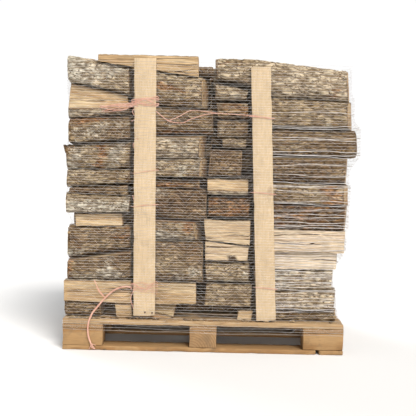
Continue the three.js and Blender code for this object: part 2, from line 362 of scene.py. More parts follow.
def sawn_effect():
    """Sawn softwood seen along its length, X: growth-ring figure, fibres, knots and grime."""
    given_kinds = {"Vector": "vector", "Pale": "colour", "Dark": "colour"}
    given_kinds |= {"Figure": "value", "Grime": "value"}
    sheet, given, end = start_effect("sawn_grain", given_kinds, FINISH)
    wavy = sheet.wander(sheet.stretch(given["Vector"], 0.35, 1, 1), 5, 0.03)
    parts = sheet.add("ShaderNodeSeparateXYZ", {0: wavy}).outputs
    knot_field = sheet.cells(sheet.stretch(given["Vector"], 0.45, 1, 1), 6.5, "F1")
    knot = sheet.spread(knot_field, 0.05, 0.075, 1, 0)
    swirl = sheet.math("MULTIPLY", sheet.spread(knot_field, 0.3, 0.05), 0.012)
    across = sheet.math("ADD", parts[1], 0.05)
    squares = [sheet.math("MULTIPLY", part, part) for part in (across, parts[2])]
    radius = sheet.math("SQRT", sheet.math("ADD", *squares))
    radius = sheet.math("ADD", radius, swirl)
    rings = sheet.math("SINE", sheet.math("MULTIPLY", radius, 620))
    fibres = sheet.clouds(sheet.stretch(given["Vector"], 0.045, 1, 1), 420, 4, 0.6)
    stain = sheet.clouds(sheet.stretch(given["Vector"], 0.5, 1, 1), 7, 4, 0.6)
    base = sheet.mix(sheet.spread(stain, 0.3, 0.7, 0, 0.35), given["Pale"], given["Dark"])
    line = sheet.math("MULTIPLY", sheet.spread(rings, 0.0, 1.0), given["Figure"])
    base = sheet.mix(line, base, given["Dark"])
    tone = sheet.spread(fibres, 0.3, 0.7, 0.84, 1.1)
    base = sheet.lighten(base, tone)
    knot = sheet.math("MULTIPLY", knot, sheet.math("MULTIPLY", given["Figure"], 1.3))
    base = sheet.mix(knot, base, shade(112, 66, 34))
    dirt = sheet.clouds(given["Vector"], 19, 6, 0.7)
    dirt = sheet.math("MULTIPLY", sheet.spread(dirt, 0.48, 0.72), given["Grime"])
    base = sheet.mix(dirt, base, shade(92, 78, 62))
    rough = sheet.spread(fibres, 0.3, 0.7, 0.62, 0.84)
    height = sheet.math("ADD", fibres, sheet.math("MULTIPLY", rings, 0.25))
    return finish_effect(sheet, end, Color=base, Roughness=rough, Height=height)


# ---------- materials ----------


def start_material(name):
    material = bpy.data.materials.new(name)
    material.use_nodes = True
    return material, Sheet(material.node_tree), material.node_tree.nodes["Principled BSDF"]


def dress(sheet, shader, effect, inputs, bump, relief):
    """Feeds the shader from an effect: its colour, roughness and bump."""
    group = sheet.add("ShaderNodeGroup", node_tree=effect)
    for label, value in inputs.items():
        if isinstance(value, bpy.types.NodeSocket):
            sheet.tree.links.new(value, group.inputs[label])
        else:
            group.inputs[label].default_value = value
    inputs = {"Height": group.outputs["Height"], "Strength": bump, "Distance": relief}
    normal = sheet.add("ShaderNodeBump", inputs).outputs[0]
    sheet.tree.links.new(group.outputs["Color"], shader.inputs["Base Color"])
    sheet.tree.links.new(group.outputs["Roughness"], shader.inputs["Roughness"])
    sheet.tree.links.new(normal, shader.inputs["Normal"])
    shader.inputs["Specular IOR Level"].default_value = 0.25


def log_material(name, effect, bump, relief, extra):
    material, sheet, shader = start_material(name)
    place = sheet.add("ShaderNodeTexCoord").outputs["Object"]
    look = sheet.add("ShaderNodeAttribute", attribute_name="look").outputs["Color"]
    tone, lichen, warmth = sheet.add("ShaderNodeSeparateColor", {0: look}).outputs
    inputs = {"Vector": place, "Tone": tone, "Lichen": lichen, "Warmth": warmth}
    if extra == "Hollow":
        inputs["Hollow"] = sheet.add("ShaderNodeAttribute", attribute_name="hollow").outputs["Fac"]
    else:
        inputs["Trunk"] = sheet.add("ShaderNodeAttribute", attribute_name="trunk").outputs["Vector"]
    dress(sheet, shader, effect, inputs, bump, relief)
    return material


def timber_material(name, effect, grain_axis, pale, dark, figure, grime):
    """Sawn timber whose grain runs along X, Y or Z."""
    material, sheet, shader = start_material(name)
    place = sheet.add("ShaderNodeTexCoord").outputs["Object"]
    x, y, z = sheet.add("ShaderNodeSeparateXYZ", {0: place}).outputs
    order = {"X": (x, y, z), "Y": (y, x, z), "Z": (z, x, y)}[grain_axis]
    turned = sheet.add("ShaderNodeCombineXYZ", dict(enumerate(order))).outputs[0]
    inputs = {"Vector": turned, "Pale": pale, "Dark": dark, "Figure": figure, "Grime": grime}
    dress(sheet, shader, effect, inputs, 0.35, 0.0006)
    return material


def thread_material(name, colour, dark):
    material, sheet, shader = start_material(name)
    place = sheet.add("ShaderNodeTexCoord").outputs["Object"]
    soil = sheet.clouds(place, 26, 3, 0.6)
    sheet.tree.links.new(sheet.mix(sheet.spread(soil, 0.35, 0.7), colour, dark), shader.inputs["Base Color"])
    twist = sheet.clouds(sheet.stretch(place, 1, 1, 2), 900, 2)
    normal = sheet.add("ShaderNodeBump", {"Height": twist, "Strength": 0.3, "Distance": 0.0004}).outputs[0]
    sheet.tree.links.new(normal, shader.inputs["Normal"])
    shader.inputs["Roughness"].default_value = 0.45
    return material


BARK, SPLIT, END = 0, 1, 2
log_finishes = [
    log_material("bark", bark_effect(), 0.55, 0.003, "Hollow"),
    log_material("split_wood", split_effect(), 0.5, 0.0012, "Trunk"),
    log_material("sawn_end", end_effect(), 0.5, 0.001, "Trunk"),
]
sawn = sawn_effect()
BATTEN_SHADES = (shade(191, 169, 138), shade(176, 150, 114))
batten_wood = timber_material("batten_wood", sawn, "Z", *BATTEN_SHADES, 0.2, 0.2)
PALLET_SHADES = {
    "X": (shade(157, 126, 87), shade(129, 92, 53)),
    "Y": (shade(148, 119, 85), shade(122, 88, 53)),
}
pallet_wood = {
    axis: timber_material("pallet_wood_" + axis.lower(), sawn, axis, *PALLET_SHADES[axis], 0.6, 0.45)
    for axis in "XY"
}
deck_wood = timber_material("deck_wood", sawn, "X", shade(168, 142, 107), shade(140, 108, 73), 0.5, 0.5)
net_white = thread_material("net_threads", shade(216, 211, 207), shade(178, 172, 166))
net_pink = thread_material("pink_threads", shade(208, 164, 144), shade(194, 142, 123))


# ---------- pieces ----------


def finish_piece(name, bm, materials, replaced=(), smooth=True):
    """Makes the piece from its bmesh, with its materials, its body and the node it stands for."""
    mesh = bpy.data.meshes.new(name)
    for face in bm.faces:
        face.smooth = smooth
    bm.to_mesh(mesh)
    bm.free()
    for material in materials:
        mesh.materials.append(material)
    piece = bpy.data.objects.new(name, mesh)
    bpy.context.scene.collection.objects.link(piece)
    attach(piece, "root")
    if replaced:
        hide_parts(*replaced)
    return piece


# ---------- logs ----------

# How a trunk is split: the part kept has direction . point <= distance, for each pair of a
# direction in degrees and a distance in trunk radii. Direction 180 faces the front, 90 is up.
SPLITS = {
    "round": [(0, 0.85)],
    "half": [(0, 0.2)],
    "bark_over_split": [(0, 0.3), (262, 0.45)],
    "split_over_bark": [(0, 0.3), (98, 0.4)],
    "split_face": [(180, 0.1), (300, 0.75)],
    "wedge_face": [(172, 0.05), (285, 0.3)],
    "split_top": [(165, 0.8), (0, 0.5)],
}
TRUNK_SQUARENESS = 3.3
TRUNK_SIDES = 48

Point = namedtuple("Point", "at barked")  # barked says what the edge that starts here is


def trunk_outline(squareness):
    """A trunk's section of radius 1, from a circle at squareness 2 towards a square."""

    def bulge(value):
        return math.copysign(abs(value) ** (2 / squareness), value)

    turns = [(i + 0.5) / TRUNK_SIDES * math.tau for i in range(TRUNK_SIDES)]
    return [Point(Vector((bulge(math.cos(a)), bulge(math.sin(a)))), True) for a in turns]


def split(outline, degrees, distance, bark_grows_on=False):
    """The outline left when everything past one straight split is taken away."""
    angle = math.radians(degrees)
    direction = Vector((math.cos(angle), math.sin(angle)))
    kept = []
    for i, (at, barked) in enumerate(outline):
        following = outline[(i + 1) % len(outline)].at
        here = at.dot(direction) - distance
        there = following.dot(direction) - distance
        if here <= 0:
            kept.append(Point(at, barked))
        if here * there < 0:
            crossing = at.lerp(following, here / (here - there))
            kept.append(Point(crossing, barked if there < 0 else bark_grows_on))
    return kept


def finer(outline, step):
    """The same outline with no edge longer than the step."""
    result = []
    for i, (at, barked) in enumerate(outline):
        following = outline[(i + 1) % len(outline)].at
        pieces = max(1, math.ceil((following - at).length / step))
        result += [Point(at.lerp(following, k / pieces), barked) for k in range(pieces)]
    return result


def log_prism(outline, cuts):
    """A prism along X from 0 to 1, cut into short lengths, with its faces sorted by finish."""
    bm = bmesh.new()
    caps = [bm.faces.new([bm.verts.new((x, at.x, at.y)) for at, _ in outline]) for x in (0, 1)]
    bm.verts.index_update()
    # An extrusion would do it too, but orders its faces in a new way on each run.
    bmesh.ops.bridge_loops(bm, edges=[edge for cap in caps for edge in cap.edges])
    for face in bm.faces:
        near = sorted(v.index for v in face.verts if v.co.x < 0.5)
        if len(near) == 2:
            first = near[0] if near[1] - near[0] == 1 else near[1]
            face.material_index = BARK if outline[first].barked else SPLIT
        else:
            face.material_index = END
    lengthwise = [e for e in bm.edges if abs(e.verts[0].co.x - e.verts[1].co.x) > 0.5]
    bmesh.ops.subdivide_edges(bm, edges=lengthwise, cuts=cuts, use_grid_fill=True)
    bmesh.ops.recalc_face_normals(bm, faces=bm.faces)
    return bm


def crack_depth(place):
    """How deep the fissures between bark plates are here, from 0 to 1."""
    stretched = Vector((place.x * 20, place.y * 58, place.z * 58))
    stretched += noise.noise_vector(stretched * 0.4) * 0.7
    distances = noise.voronoi(stretched)[0]
    return 1 - smooth_step(0.04, 0.34, distances[1] - distances[0])


def weather_log(bm, shift, end_rings):
    """Gives a plain prism its bark plates, torn fibres, saw marks and worn arrises."""
    # How deep each vertex lies in a bark fissure, which the bark shader uses to paint shade into the cracks.
    hollow = bm.verts.layers.float.new("hollow")
    trunk = bm.verts.layers.float_vector["trunk"]
    for cap in [f for f in bm.faces if f.material_index == END]:
        middle = cap.calc_center_median()
        pith_way = sum((v[trunk] for v in cap.verts), Vector()) / len(cap.verts)
        for share in end_rings:
            bmesh.ops.inset_individual(bm, faces=[cap], thickness=0)
            for vert in cap.verts:
                vert.co = middle.lerp(vert.co, share)
                vert[trunk] = pith_way.lerp(vert[trunk], share)
        for vert in bmesh.ops.poke(bm, faces=[cap])["verts"]:
            vert[trunk] = pith_way
    bm.normal_update()
    moves = []
    for vert in bm.verts:
        finishes = {f.material_index for f in vert.link_faces}
        place = vert.co + shift
        if finishes == {END}:
            rough = noise.noise(place * 30) * 0.0012 + noise.noise(place * 160) * 0.0005
            moves.append((vert, Vector((rough, 0, 0)), 0))
            continue
        swell = noise.noise(Vector((place.x * 9, place.y * 14, place.z * 14)))
        if BARK in finishes:
            crack = crack_depth(place)
            depth = 0.0042 * crack + 0.0012 * noise.noise(place * 130) + 0.0035 * swell - 0.0016
            if SPLIT in finishes:
                depth *= 0.6
        else:
            crack = 0
            torn = noise.noise(Vector((place.x * 7, place.y * 110, place.z * 110)))
            depth = 0.0009 * torn + 0.0026 * swell - 0.001
        if END in finishes:
            depth += 0.0018
        moves.append((vert, -vert.normal * depth, crack))
    for vert, move, crack in moves:
        vert.co += move
        vert[hollow] = crack


def cut_log(outline, place, cuts, painted, seed, squareness=2, end_rings=(0.93, 0.78, 0.66, 0.45)):
    """One log. For the share t of its length and a point of its outline, place(t, at) is where that
    is, and painted(t, at) its tone, lichen and warmth."""
    bm = log_prism(outline, cuts)
    trunk = bm.verts.layers.float_vector.new("trunk")
    paint = bm.verts.layers.float_color.new("look")
    shares = {v: (v.co.x, Vector((v.co.y, v.co.z))) for v in bm.verts}
    for vert, (share, at) in shares.items():
        spread = (abs(at.x) ** squareness + abs(at.y) ** squareness) ** (1 / squareness)
        vert[trunk] = Vector((at.x, at.y, 0)) * (spread / max(at.length, 1e-6))
        vert[paint] = (*painted(share, at), 1)
        vert.co = place(share, at)
    weather_log(bm, Vector((seed * 3.7, seed * 1.3, seed * 2.1)), end_rings)
    bmesh.ops.recalc_face_normals(bm, faces=bm.faces)
    for edge in bm.edges:
        edge.smooth = len({f.material_index for f in edge.link_faces}) == 1
    return bm


# ---------- the front row ----------

Look = namedtuple("Look", "kind tone lichen warmth left_cut right_cut")
# Tone runs from dark to pale. A cut is how far that end is sawn back at the front, in metres,
# so that it turns its rings to the front.
FRONT_LOOKS = {
    "left_log_01": Look("bark_over_split", 0.73, 0.8, 0.2, 0.002, 0.006),
    "left_log_02": Look("split_top", 0.7, 0.35, 0.2, 0.002, 0.004),
    "left_log_03": Look("bark_over_split", 0.35, 0.55, 0.5, 0.0, 0.008),
    "left_log_04": Look("half", 0.4, 0.65, 0.4, 0.002, 0.004),
    "left_log_05": Look("round", 0.5, 0.25, 0.5, 0.004, 0.01),
    "left_log_06": Look("half", 0.25, 0.1, 0.3, 0.002, 0.0),
    "left_log_07": Look("bark_over_split", 0.62, 0.95, 0.3, 0.004, 0.002),
    "left_log_08": Look("wedge_face", 0.75, 0.1, 0.15, 0.006, 0.012),
    "left_log_09": Look("half", 0.33, 0.2, 0.5, 0.0, 0.004),
    "left_log_10": Look("split_over_bark", 0.3, 0.5, 0.35, 0.006, 0.006),
    "left_log_11": Look("split_face", 0.85, 0.0, 0.1, 0.0, 0.0),
    "left_log_12": Look("round", 0.3, 0.3, 0.1, 0.0, 0.01),
    "middle_log_01": Look("round", 0.52, 0.3, 0.55, 0.0, 0.03),
    "middle_log_02": Look("half", 0.34, 0.45, 0.25, 0.0, 0.006),
    "middle_log_03": Look("split_over_bark", 0.72, 0.7, 0.1, 0.0, 0.03),
    "middle_log_04": Look("bark_over_split", 0.5, 0.55, 0.3, 0.0, 0.034),
    "middle_log_05": Look("half", 0.3, 0.1, 0.9, 0.0, 0.0),
    "middle_log_06": Look("half", 0.24, 0.35, 0.4, 0.0, 0.004),
    "middle_log_07": Look("split_over_bark", 0.36, 0.55, 0.3, 0.0, 0.034),
    "middle_log_08": Look("half", 0.37, 0.4, 0.25, 0.0, 0.004),
    "middle_log_09": Look("split_face", 0.62, 0.1, 0.05, 0.0, 0.002),
    "middle_log_10": Look("wedge_face", 0.4, 0.1, 0.3, 0.0, 0.004),
    "right_log_01": Look("half", 0.79, 0.4, 0.2, 0.0, 0.024),
    "right_log_02": Look("bark_over_split", 0.5, 0.45, 0.35, 0.0, 0.036),
    "right_log_03": Look("half", 0.36, 0.35, 0.35, 0.0, 0.002),
    "right_log_04": Look("split_over_bark", 0.27, 0.3, 0.3, 0.0, 0.024),
    "right_log_05": Look("bark_over_split", 0.5, 0.3, 0.45, 0.0, 0.036),
    "right_log_06": Look("round", 0.12, 0.2, 0.75, 0.0, 0.026),
    "right_log_07": Look("split_face", 1.22, 0.0, 0.05, 0.0, 0.016),
    "right_log_08": Look("wedge_face", 1.3, 0.0, 0.0, 0.0, 0.0),
    "right_log_09": Look("half", 0.95, 0.6, 0.1, 0.0, 0.01),
    "right_log_10": Look("bark_over_split", 0.72, 0.5, 0.2, 0.0, 0.014),
    "right_log_11": Look("round", 0.45, 0.3, 0.2, 0.0, 0.02),
    "top_split_log": Look("split_face", 0.9, 0.0, 0.05, 0.0, 0.0),
}

Patch = namedtuple("Patch", "along up length height change")
# Where a log's face isn't all alike: the patch's middle, as shares of the length and height, its
# size in the same shares, and what it adds to the tone, the lichen and the warmth.
PATCHES = {
    "left_log_01": [Patch(0.2, 0.7, 0.4, 0.6, (0.1, 0.4, -0.1)),
                    Patch(0.8, 0.2, 0.35, 0.35, (-0.2, -0.4, 0.1)),
                    Patch(0.6, 1.0, 0.4, 0.12, (0.0, -0.5, 0.7))],
    "left_log_02": [Patch(0.1, 0.2, 0.3, 0.3, (0.0, 0.3, 0.0)), Patch(0.8, 0.2, 0.4, 0.3, (0.1, -0.3, 0.6))],
    "left_log_03": [Patch(0.3, 0.95, 0.5, 0.14, (-0.1, -0.6, 0.7)),
                    Patch(0.5, 0.4, 0.6, 0.3, (0.0, 0.2, -0.3))],
    "left_log_04": [Patch(0.55, 0.5, 0.1, 0.8, (0.0, -0.7, 0.8)),
                    Patch(0.15, 0.5, 0.25, 0.6, (0.1, 0.3, -0.2)),
                    Patch(0.0, 0.9, 0.06, 0.3, (-0.3, -0.8, 0.5))],
    "left_log_07": [Patch(0.5, 0.95, 0.9, 0.2, (-0.15, -0.7, 0.3)),
                    Patch(0.5, 0.3, 0.7, 0.3, (0.1, 0.2, -0.2))],
    "left_log_09": [Patch(0.7, 0.8, 0.3, 0.3, (0.0, -0.2, 0.3)),
                    Patch(0.2, 0.15, 0.4, 0.2, (0.1, 0.5, 0.0))],
    "left_log_10": [Patch(0.4, 0.2, 0.6, 0.16, (0.15, 0.6, -0.3)),
                    Patch(0.03, 0.5, 0.1, 0.8, (0.2, -0.6, 0.8))],
    "middle_log_01": [Patch(0.5, 0.9, 0.9, 0.16, (0.1, 0.2, -0.5)),
                      Patch(0.5, 0.6, 0.9, 0.16, (0.1, -0.3, 0.5)),
                      Patch(0.5, 0.15, 0.9, 0.25, (-0.15, 0.3, -0.3))],
    "middle_log_02": [Patch(0.5, 0.05, 0.9, 0.1, (0.0, -0.3, 0.8))],
    "middle_log_06": [Patch(0.5, 0.5, 0.4, 0.4, (-0.1, 0.0, 0.0))],
    "middle_log_07": [Patch(0.4, 0.2, 0.5, 0.25, (0.2, 0.6, -0.2)),
                      Patch(0.9, 0.6, 0.12, 0.6, (0.3, -0.5, 0.8))],
    "middle_log_08": [Patch(0.3, 0.3, 0.4, 0.25, (0.1, 0.3, 0.0)),
                      Patch(0.8, 0.8, 0.3, 0.3, (-0.1, -0.2, 0.2))],
    "right_log_01": [Patch(0.9, 0.5, 0.12, 0.9, (0.1, -0.3, 0.5))],
    "right_log_05": [Patch(0.9, 0.5, 0.15, 0.9, (0.1, -0.3, 0.6))],
    "right_log_09": [Patch(0.5, 0.8, 0.6, 0.3, (0.1, 0.2, 0.0))],
}

LogEnd = namedtuple("LogEnd", "x bottom top front back")


def cad_ends(node):
    """The left and right end of a log's solid."""
    low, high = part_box(node)
    middle = (low.x + high.x) / 2
    ends = []
    for is_left in (True, False):
        corners = [v.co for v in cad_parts[node].data.vertices if (v.co.x < middle) == is_left]
        heights = [c.z for c in corners]
        depths = [c.y for c in corners]
        ends.append(LogEnd(corners[0].x, min(heights), max(heights), min(depths), max(depths)))
    return ends


def fitted_log(look, left, right, seed, patches=(), step=0.006, length_step=0.0085):
    """A log split in the way its look says, filling the space between its two ends."""
    outline = trunk_outline(TRUNK_SQUARENESS)
    for degrees, distance in SPLITS[look.kind]:
        outline = split(outline, degrees, distance, bark_grows_on=240 < degrees < 310)
    low = Vector((min(p.at.x for p in outline), min(p.at.y for p in outline)))
    high = Vector((max(p.at.x for p in outline), max(p.at.y for p in outline)))
    height = left.top - left.bottom + right.top - right.bottom
    depth = left.back - left.front
    trunk_radius = (height / 2 / (high.y - low.y) + depth / (high.x - low.x)) / 2
    outline = finer(outline, step / trunk_radius)
    draw = random.Random(seed)
    slants = [draw.uniform(-0.005, 0.005) for _ in range(2)]
    waist = [draw.uniform(0.0, 0.03) for _ in range(2)]

    def place(share, at):
        deep = (at.x - low.x) / (high.x - low.x)
        high_share = (at.y - low.y) / (high.y - low.y)
        pinch = 1 - waist[0] * math.sin(share * math.pi) ** 2 * abs(math.sin(share * 5 + seed))
        deep_in = 0.5 + (deep - 0.5) * pinch
        high_in = 0.5 + (high_share - 0.5) * (1 - waist[1] * math.sin(share * math.pi * 0.9 + 0.2) ** 2)
        start = left.x + look.left_cut * (1 - deep) + abs(slants[0]) + slants[0] * (high_share * 2 - 1)
        stop = right.x - look.right_cut * (1 - deep) - abs(slants[1]) - slants[1] * (high_share * 2 - 1)
        y = blend(blend(left.front, right.front, share), blend(left.back, right.back, share), deep_in)
        z = blend(blend(left.bottom, right.bottom, share), blend(left.top, right.top, share), high_in)
        return Vector((blend(start, stop, share), y, z))

    def painted(share, at):
        tones = Vector((look.tone, look.lichen, look.warmth))
        for patch in patches:
            along = (share - patch.along) / patch.length
            up = ((at.y - low.y) / (high.y - low.y) - patch.up) / patch.height
            tones += Vector(patch.change) * math.exp(-along * along - up * up)
        return tones

    cuts = int((right.x - left.x) / length_step)
    return cut_log(outline, place, cuts, painted, seed, TRUNK_SQUARENESS)


# Slanted ends hide behind the front corner, so the outer ends stand a little proud.
LEFT_PROUD, RIGHT_PROUD = 0.007, 0.014
SETTLE = 0.0045  # each log sinks this far into the bark of the logs under and over it
BRANCH_LOOK = Look("round", 0.2, 0.2, 0.6, 0.004, 0.0)
BRANCH_ENDS = [LogEnd(x, 0.838, 0.872, -0.362, -0.315) for x in (-0.618, -0.565)]
BRANCH_SEED = 31


def front_row():
    """The front logs that have nodes of their own, one of them with the stub of a branch."""
    for seed, (node, look) in enumerate(FRONT_LOOKS.items(), start=1):
        left, right = cad_ends(node)
        if node.startswith("right"):
            right = right._replace(x=min(right.x + RIGHT_PROUD, cad_bounds[1][0] - 0.004))
        elif node.startswith("left"):
            left = left._replace(x=max(left.x - LEFT_PROUD, cad_bounds[0][0] - 0.004))
        if node == "left_log_01":  # it fills the wedges above and below it
            right = right._replace(bottom=right.bottom - 0.006, top=right.top + 0.006)
        if node == "right_log_01":  # its left end reaches the gap beside the top log
            left = left._replace(x=left.x - 0.007, top=left.top + 0.009)
        left, right = (end._replace(bottom=max(end.bottom - SETTLE, DECK_TOP + 0.001),
                                    top=min(end.top + SETTLE, cad_bounds[1][2] - 0.003))
                       for end in (left, right))
        bm = fitted_log(look, left, right, seed, PATCHES.get(node, ()))
        if node == "left_log_04":
            append(bm, fitted_log(BRANCH_LOOK, *BRANCH_ENDS, BRANCH_SEED))
        slot = "split_wood" if "face" in look.kind else "bark"
        finish_piece(node + "_finished", bm, log_finishes, [node])


# The narrow third column, from the top down: its look, its left and right end, the height of
# its underside and top at the left, the same at the right, and how far it stands back.
THIRD_FRONT = -0.364
THIRD_BACK = -0.257
THIRD_COLUMN = [
    (Look("bark_over_split", 0.6, 0.3, 0.5, 0.01, 0.0), 0.050, 0.221, (1.162, 1.258), (1.131, 1.256), 0.0),
    (Look("half", 0.6, 0.6, 0.1, 0.0, 0.0), 0.050, 0.191, (1.078, 1.150), (1.078, 1.126), 0.004),
    (Look("split_over_bark", 0.42, 0.1, 0.9, 0.0, 0.0), 0.055, 0.191, (0.999, 1.071), (0.999, 1.071), 0.002),
    (Look("half", 0.36, 0.4, 0.2, 0.0, 0.0), 0.060, 0.190, (0.916, 0.994), (0.920, 0.994), 0.006),
    (Look("half", 0.42, 0.2, 0.3, 0.0, 0.0), 0.080, 0.182, (0.874, 0.920), (0.874, 0.920), 0.02),
    (Look("round", 0.24, 0.25, 0.15, 0.004, 0.0), 0.020, 0.164, (0.752, 0.868), (0.752, 0.868), 0.004),
    (Look("split_top", 0.8, 0.2, 0.3, 0.0, 0.006), 0.016, 0.197, (0.673, 0.742), (0.673, 0.742), 0.0),
    (Look("bark_over_split", 0, 0, 0.9, 0, 0.004), 0.020, 0.204, (0.571, 0.664), (0.571, 0.664), 0.002),
    (Look("split_face", 1.08, 0.0, 0.0, 0.0, 0.0), 0.002, 0.201, (0.478, 0.567), (0.459, 0.566), 0.0),
    (Look("split_face", 1.12, 0.0, 0.0, 0.0, 0.006), 0.008, 0.200, (0.392, 0.474), (0.392, 0.455), 0.003),
    (Look("half", 0.55, 0.5, 0.1, 0.0, 0.0), 0.008, 0.198, (0.297, 0.386), (0.297, 0.386), 0.003),
    (Look("bark_over_split", 0.46, 0.3, 0.3, 0.0, 0.0), 0.004, 0.211, (0.181, 0.293), (0.181, 0.293), 0.0),
    (Look("half", 0.3, 0.2, 0.1, 0.0, 0.0), -0.016, 0.047, (1.180, 1.222), (1.180, 1.222), 0.03),
    (Look("split_face", 0.8, 0.0, 0.1, 0.0, 0.0), 0.145, 0.214, (0.136, 0.177), (0.136, 0.177), 0.006),
    # a short piece wedged under the left column's split log
    (Look("split_face", 0.85, 0.0, 0.1, 0.0, 0.0), -0.382, -0.304, (0.136, 0.194), (0.136, 0.196), 0.004),
]


def third_column():
    """The narrow column's logs, joined as one mesh."""
    column = bmesh.new()
    for number, (look, left, right, at_left, at_right, back) in enumerate(THIRD_COLUMN, start=1):
        ends = [
            LogEnd(x - settled(sum(heights) / 2), *heights, THIRD_FRONT + back, THIRD_BACK)
            for x, heights in ((left, at_left), (right, at_right))
        ]
        append(column, fitted_log(look, *ends, 40 + number))
    return column


def append(target, bm):
    """Adds one log to a joined mesh."""
    scratch = bpy.data.meshes.new("scratch")
    bm.to_mesh(scratch)
    bm.free()
    target.from_mesh(scratch)
    bpy.data.meshes.remove(scratch)


# ---------- the rows behind ----------

REAR_FRONT = -0.252
REAR_BACK = 0.367
REAR_TOP = 1.236
LOG_GAP = 0.005
COLUMN_ENDS = {
    "left": (-0.572, -0.296), "middle": (-0.288, 0.022), "third": (0.030, 0.210), "right": (0.218, 0.604),
}


def log_centres(draw):
    """Centres of the logs behind the front row: loose courses, each a row of uneven widths."""
    centres = []
    height = DECK_TOP + 0.002
    while height < REAR_TOP - 0.05:
        course = draw.uniform(0.085, 0.125)
        if REAR_TOP - height - course < 0.06:
            course = REAR_TOP - height
        depth = REAR_FRONT
        while depth < REAR_BACK - 0.04:
            width = draw.uniform(0.085, 0.145)
            if REAR_BACK - depth - width < 0.06:
                width = REAR_BACK - depth
            jitter = Vector((draw.uniform(-0.012, 0.012), draw.uniform(-0.018, 0.018)))
            centres.append(Vector((depth + width / 2, height + course / 2)) + jitter)
            depth += width
        height += course
    return centres


def rear_section(centre, centres, draw):
    """One log's section: a trunk split by its neighbours, as its pith, radius and outline."""
    to_edge = {
        180: centre.x - REAR_FRONT, 0: REAR_BACK - centre.x,
        270: centre.y - DECK_TOP - 0.002, 90: REAR_TOP - centre.y,
    }
    nearest = min(to_edge, key=to_edge.get)
    outside = nearest != 270 and to_edge[nearest] < 0.08
    turn = math.radians(nearest if outside else draw.uniform(0, 360))
    bark_side = Vector((math.cos(turn), math.sin(turn)))
    reach = draw.uniform(0.052, 0.066)
    offset = reach * draw.choice((0.0, 0.35, 0.75, 0.9))
    pith = centre - bark_side * offset
    radius = reach + offset * draw.uniform(0.8, 0.95)
    outline = trunk_outline(2.2)
    for other in centres:
        apart = other - centre
        if 0 < apart.length < 0.3:
            middle = (centre + other) / 2 - pith
            direction = apart.normalized()
            distance = (middle.dot(direction) - LOG_GAP / 2) / radius
            outline = split(outline, math.degrees(math.atan2(apart.y, apart.x)), distance)
    for degrees, room in to_edge.items():
        direction = Vector((math.cos(math.radians(degrees)), math.sin(math.radians(degrees))))
        distance = (room - draw.uniform(0, 0.014) + (centre - pith).dot(direction)) / radius
        outline = split(outline, degrees, distance, bark_grows_on=True)
    return pith, radius, outline


def rear_column(name, seed):
    """Every log of one column behind the front row, joined as one mesh."""
    draw = random.Random(seed)
    left, right = COLUMN_ENDS[name]
    centres = log_centres(draw)
    column = bmesh.new()
    for number, centre in enumerate(centres):
        pith, radius, outline = rear_section(centre, centres, draw)
        if len(outline) < 6:
            continue
        lean = settled(centre.y)
        ends = (left + draw.uniform(-0.008, 0.012), right + draw.uniform(-0.012, 0.008))
        stagger = 0.017 * math.sin(centre.x * 34 + 1)
        ends = (ends[0] if name == "left" else left - 0.002 + stagger,
                ends[1] if name == "right" else right + 0.002 + stagger)
        if name == "right":
            held = net_reach(centre.y, "right", "right") + lean - 0.004
            ends = (ends[0], min(ends[1], held))
        slants = [draw.uniform(-0.08, 0.08) for _ in range(4)]
        shrink = [draw.uniform(0.95, 1.0) for _ in range(2)]

        def place(share, at):
            offset = at * radius * blend(*shrink, share)
            slant = blend(slants[0], slants[1], share) * offset.x
            slant += blend(slants[2], slants[3], share) * offset.y
            return Vector((blend(*ends, share) - lean + slant, pith.x + offset.x, pith.y + offset.y))

        shows_behind = centre.x > REAR_BACK - 0.1 or centre.y > REAR_TOP - 0.12
        at_end = name in ("left", "right")
        step = 0.009 if shows_behind else 0.013
        if not (shows_behind or at_end):
            step = 0.024
        cuts = int((right - left) / (0.014 if shows_behind else 0.05))
        look = (draw.uniform(0.3, 0.75), draw.uniform(0.1, 0.7), draw.uniform(0.1, 0.6))
        # Painted shade: logs inside the stack, seen only through the gaps, get a darker tone with less lichen
        # and warmth.
        if not shows_behind:
            look = (look[0] * 0.35, look[1] * 0.3, look[2] * 0.4)

        def painted(_share, _at):
            return look

        outline = finer(thinned(outline, step / radius), step / radius)
        append(column, cut_log(outline, place, cuts, painted, seed * 100 + number))
    return column


def thinned(outline, step):
    """The outline without the points that crowd together on one stretch of bark or split face."""
    kept = [outline[0]]
    for point, following in zip(outline[1:], outline[2:] + outline[:1]):
        close = (point.at - kept[-1].at).length < step * 0.7
        if close and point.barked == kept[-1].barked and following.barked == point.barked:
            continue
        kept.append(point)
    return kept


def rear_rows():
    pieces = []
    for seed, name in enumerate(COLUMN_ENDS, start=1):
        pieces.append(("rear_logs_" + name, rear_column(name, seed)))
    pieces.append(("third_column_logs", third_column()))
    for name, bm in pieces:
        finish_piece(name, bm, log_finishes, ["logs_behind_and_third_column"])


# ---------- pallet and battens ----------


def board_frame(node):
    """A board's middle, its size along length, width and thickness, and those three directions."""
    corners = []
    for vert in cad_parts[node].data.vertices:
        if all((vert.co - c).length > 1e-4 for c in corners):
            corners.append(vert.co.copy())
    middle = sum(corners, Vector()) / len(corners)
    arms = sorted((c - corners[0] for c in corners[1:]), key=lambda arm: arm.length)
    square = []
    for arm in arms:
        if all(abs(arm.normalized().dot(other.normalized())) < 0.01 for other in square):
            square.append(arm)
    thickness, width, length = square
    return middle, Vector((length.length, width.length, thickness.length)), (length, width, thickness)


